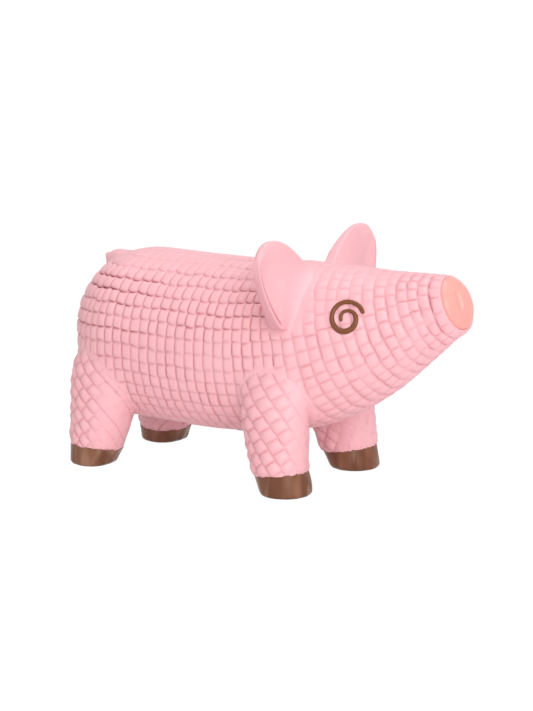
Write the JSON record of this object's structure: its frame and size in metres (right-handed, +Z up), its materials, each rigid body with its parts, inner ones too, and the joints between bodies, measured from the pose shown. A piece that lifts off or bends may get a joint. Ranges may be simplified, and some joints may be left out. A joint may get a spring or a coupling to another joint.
{
  "type": "latex pig dog toy",
  "caption": "Standing pig-shaped squeaky chew toy of soft pink latex with carved pads, brown hooves, flexing ears and spiral eyes, filled with fibre around a bellows squeaker.",
  "frame": {"origin": "on the floor, under the middle of the toy's box", "axes": "+X towards the snout, +Y towards the pig's left, +Z up"},
  "size_m": [0.1972, 0.0972, 0.1104],
  "materials": {
    "pink_latex": "matt soft latex",
    "brown_latex": "glossy paint",
    "eye_latex": "glossy bead",
    "salmon_latex": "satin paint",
    "fibre_fill": "loose white fibre",
    "bellows_plastic": "waxy",
    "whistle_plastic": "moulded",
    "reed_film": "clear film"
  },
  "bodies": {
    "toy": {"trunk_skin": "pink_latex", "head_skin": "pink_latex", "tail": "pink_latex", "belly_plug": "pink_latex", "leg_front_right": "pink_latex", "leg_front_left": "pink_latex", "leg_rear_right": "pink_latex", "leg_rear_left": "pink_latex", "hoof_front_right": "brown_latex", "hoof_front_left": "brown_latex", "hoof_rear_right": "brown_latex", "hoof_rear_left": "brown_latex", "eye_right": "eye_latex", "eye_left": "eye_latex", "nose_pad": "salmon_latex", "trunk_fill": "fibre_fill", "head_fill": "fibre_fill", "leg_fill_front_right": "fibre_fill", "leg_fill_front_left": "fibre_fill", "leg_fill_rear_right": "fibre_fill", "leg_fill_rear_left": "fibre_fill", "squeaker_bellows": "bellows_plastic"},
    "right_ear": {"ear_right": "pink_latex"},
    "left_ear": {"ear_left": "pink_latex"},
    "whistle": {"whistle_body": "whistle_plastic", "reed_block": "whistle_plastic", "reed_wedge": "whistle_plastic"},
    "reed_tongue": {"reed": "reed_film"}
  },
  "joints": [
    {"name": "ear_right_flex", "type": "hinge", "parent": "toy", "child": "right_ear", "pos_m": [0.02686, -0.02522, 0.08623], "axis": [-0.0937, 0.5829, 0.8071], "range_deg": [-20, 20], "stiffness_Nm_per_rad": 0.02},
    {"name": "ear_left_flex", "type": "hinge", "parent": "toy", "child": "left_ear", "pos_m": [0.02686, 0.02522, 0.08623], "axis": [0.0937, 0.5829, -0.8071], "range_deg": [-20, 20], "stiffness_Nm_per_rad": 0.02},
    {"name": "squeaker_press", "type": "slide", "parent": "toy", "child": "whistle", "axis": [0, 0, -1], "range_m": [0, 0.0085], "stiffness_N_per_m": 300, "deforming": ["squeaker_bellows"]},
    {"name": "reed_flutter", "type": "hinge", "parent": "whistle", "child": "reed_tongue", "pos_m": [-0.02877, 0.0005, 0.04102], "axis": [1, 0, 0], "range_deg": [-2, 6], "stiffness_Nm_per_rad": 0.00002}
  ]
}
